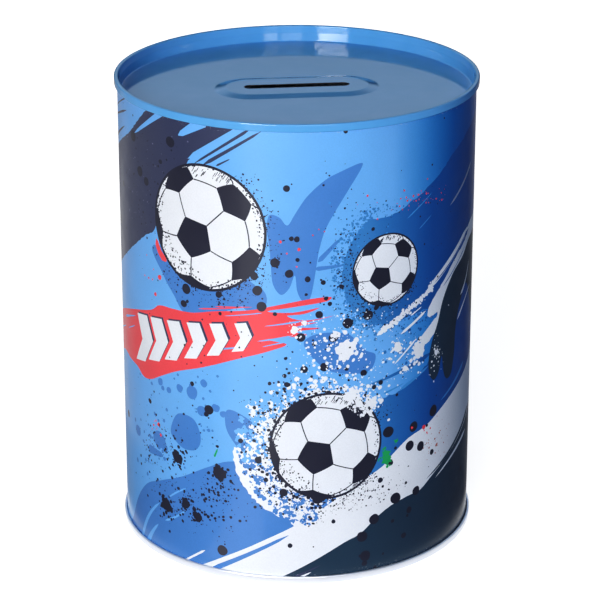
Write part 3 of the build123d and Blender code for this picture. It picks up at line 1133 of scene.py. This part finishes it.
def floor_paper():
    """Smooth white studio paper: pale where it is seen, dim as light, and bright in some reflections.

    Beyond the lights it would turn grey, so out there it glows more.
    """
    finish = Finish("floor_paper", **{"Specular IOR Level": 0.0, "Emission Color": (1, 1, 1, 1)})
    path = finish.add("LightPath").outputs
    paper = finish.mix(finish.mottle(90.0), (0.90, 0.90, 0.905, 1), (0.92, 0.92, 0.925, 1))
    colour = finish.mix(path["Is Camera Ray"], (0.22, 0.23, 0.26, 1), paper)
    reach = finish.add("VectorMath", {0: finish.place}, operation="LENGTH").outputs["Value"]
    near = finish.ramp(reach, 1.03 * RIM * MM, 1.12 * RIM * MM, UNDER_GLOW, 0.0)
    towards = finish.add("NewGeometry").outputs["Incoming"]
    backwards = finish.times(finish.parts(towards)["Y"], -1.0)
    mirrored = finish.plus(near, finish.ramp(backwards, 0.74, 0.93, 0.0, EDGE_GLOW))
    shown = finish.ramp(reach, 1.0, 1.9, FLOOR_GLOW, FAR_GLOW)
    glow = finish.plus(
        finish.times(path["Is Camera Ray"], shown), finish.times(path["Is Glossy Ray"], mirrored))
    rough = finish.mottle(3.0, 0.7, 0.8)
    return finish.finished(colour, rough, finish.noise(0.7), 0.01, **{"Emission Strength": glow})


# ---- Studio


def add_to_scene(name, data):
    """A new object in the scene."""
    thing = bpy.data.objects.new(name, data)
    bpy.context.scene.collection.objects.link(thing)
    return thing


def area_light(name, size, power, only_mirrored):
    """A light that is seen only in reflections, or one that lights the box but isn't mirrored in it."""
    light = bpy.data.lights.new(name, "AREA")
    light.shape = "RECTANGLE"
    light.size, light.size_y = size
    light.energy = power
    lamp = add_to_scene(name, light)
    lamp.visible_glossy = only_mirrored
    lamp.visible_diffuse = not only_mirrored
    return lamp


def point_from(azimuth, elevation, distance):
    """The point at this distance from the axis: azimuth 0 is at -Y, and positive is towards +X."""
    turn, rise = radians(azimuth), radians(elevation)
    return Vector((sin(turn) * cos(rise), -cos(turn) * cos(rise), sin(rise))) * distance


def aim(lamp, azimuth, elevation, height):
    """Put a lamp out there, facing the point at this height on the box's axis."""
    away = point_from(azimuth, elevation, LIGHT_DISTANCE)
    lamp.location = away + Vector((0, 0, height * MM))
    lamp.rotation_euler = (-away).to_track_quat("-Z", "Y").to_euler()


def soft_light(name, azimuth, elevation, size, power, colour=(1, 1, 1)):
    """A softbox that lights the box but isn't mirrored in it."""
    lamp = area_light(name, size, power, False)
    lamp.data.color = colour
    aim(lamp, azimuth, elevation, HEIGHT / 2)


def window(name, azimuth, elevation, size, brightness):
    """A bright patch of the studio that is only seen in reflections."""
    aim(area_light(name, size, brightness * pi * size[0] * size[1], True), azimuth, elevation, HEIGHT)


def table_glow(name, azimuth, near, far, width, brightness):
    """A bright strip of table that runs outwards and is only seen in reflections."""
    lamp = area_light(name, (width, far - near), brightness * pi * width * (far - near), True)
    lamp.location = point_from(azimuth, 0, (near + far) / 2) + Vector((0, 0, 0.5 * MM))
    lamp.rotation_euler = (pi, 0, radians(azimuth))


def add_floor(material):
    mesh = bpy.data.meshes.new("floor")
    corners = [(x * FLOOR_HALF, y * FLOOR_HALF, 0) for x, y in ((-1, -1), (1, -1), (1, 1), (-1, 1))]
    mesh.from_pydata(corners, [], [(0, 1, 2, 3)])
    mesh.materials.append(material)
    floor = add_to_scene("floor", mesh)
    floor.location.z = -0.05 * MM


def add_world():
    """Pale surroundings: white where they are seen, weak as light, and one bright band in reflections."""
    world = bpy.data.worlds.new("studio")
    bpy.context.scene.world = world
    sky = Nodes(world)
    path = sky.add("LightPath").outputs
    up = sky.parts(sky.add("TexCoord").outputs["Generated"])["Z"]

    def between(low, high, to_low, to_high):
        return sky.ramp(up, sin(radians(low)), sin(radians(high)), to_low, to_high)

    band = sky.math("MINIMUM", between(10, 17, 0.02, REFLECTED), between(27, 40, REFLECTED, 0.08))
    unseen = sky.ramp(path["Is Glossy Ray"], 0.0, 1.0, AMBIENT, band)
    shown = sky.ramp(path["Is Camera Ray"], 0.0, 1.0, unseen, 1.0)
    colour = sky.mix(path["Is Glossy Ray"], (1, 1, 1, 1), (0.58, 0.75, 1, 1))
    sky.set(sky.tree.nodes["Background"], {"Strength": shown, "Color": colour})


def add_camera():
    """The photograph's view: a long lens from a little above, with the print's front facing it."""
    camera = add_to_scene("camera", bpy.data.cameras.new("camera"))
    camera.data.lens = LENS
    camera.data.shift_x = CAMERA_SHIFT
    camera.data.clip_end = 50
    camera.location = (sin(FRONT) * CAMERA_REACH, -cos(FRONT) * CAMERA_REACH, CAMERA_HEIGHT)
    camera.rotation_euler = (pi / 2 - CAMERA_PITCH, 0, FRONT)
    bpy.context.scene.camera = camera


def set_film():
    """Plain colours, with the darkest tones held down a little as a camera does."""
    settings = bpy.context.scene.view_settings
    settings.view_transform = "Standard"
    settings.use_curve_mapping = True
    curve = settings.curve_mapping.curves[3]
    for tone, shown in ((0.05, 0.030), (0.25, 0.225), (0.60, 0.61)):
        curve.points.new(tone, shown)
    settings.curve_mapping.update()


# ---- The whole scene

bare = bare_tinplate()
printed_body(printed_tinplate(), bare)
top_end(blue_lacquer())
bottom_end(bare)
compound = seam_compound()
for name in ("top_seam_compound", "bottom_seam_compound"):
    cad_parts[name].data.materials.clear()
    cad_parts[name].data.materials.append(compound)

add_floor(floor_paper())
add_world()
add_camera()
soft_light("key", azimuth=-24, elevation=12, size=(1.0, 1.1), power=40)
soft_light("back_fill", azimuth=182, elevation=9, size=(1.3, 1.2), power=24)
soft_light("blue_fill", azimuth=58, elevation=9, size=(1.0, 1.0), power=6, colour=(0.35, 0.58, 1.0))
window("left_window", azimuth=-31, elevation=19, size=(0.72, 1.2), brightness=15)
window("middle_window", azimuth=-3, elevation=19, size=(0.52, 1.2), brightness=2.6)
window("right_window", azimuth=11, elevation=19, size=(0.33, 1.2), brightness=4.5)
table_glow("near_glow", azimuth=-31, near=0.085, far=0.20, width=0.04, brightness=1.1)
table_glow("front_glow", azimuth=-31, near=0.20, far=0.75, width=0.15, brightness=1.1)
table_glow("left_glow", azimuth=-120, near=0.14, far=0.9, width=0.6, brightness=0.30)
set_film()
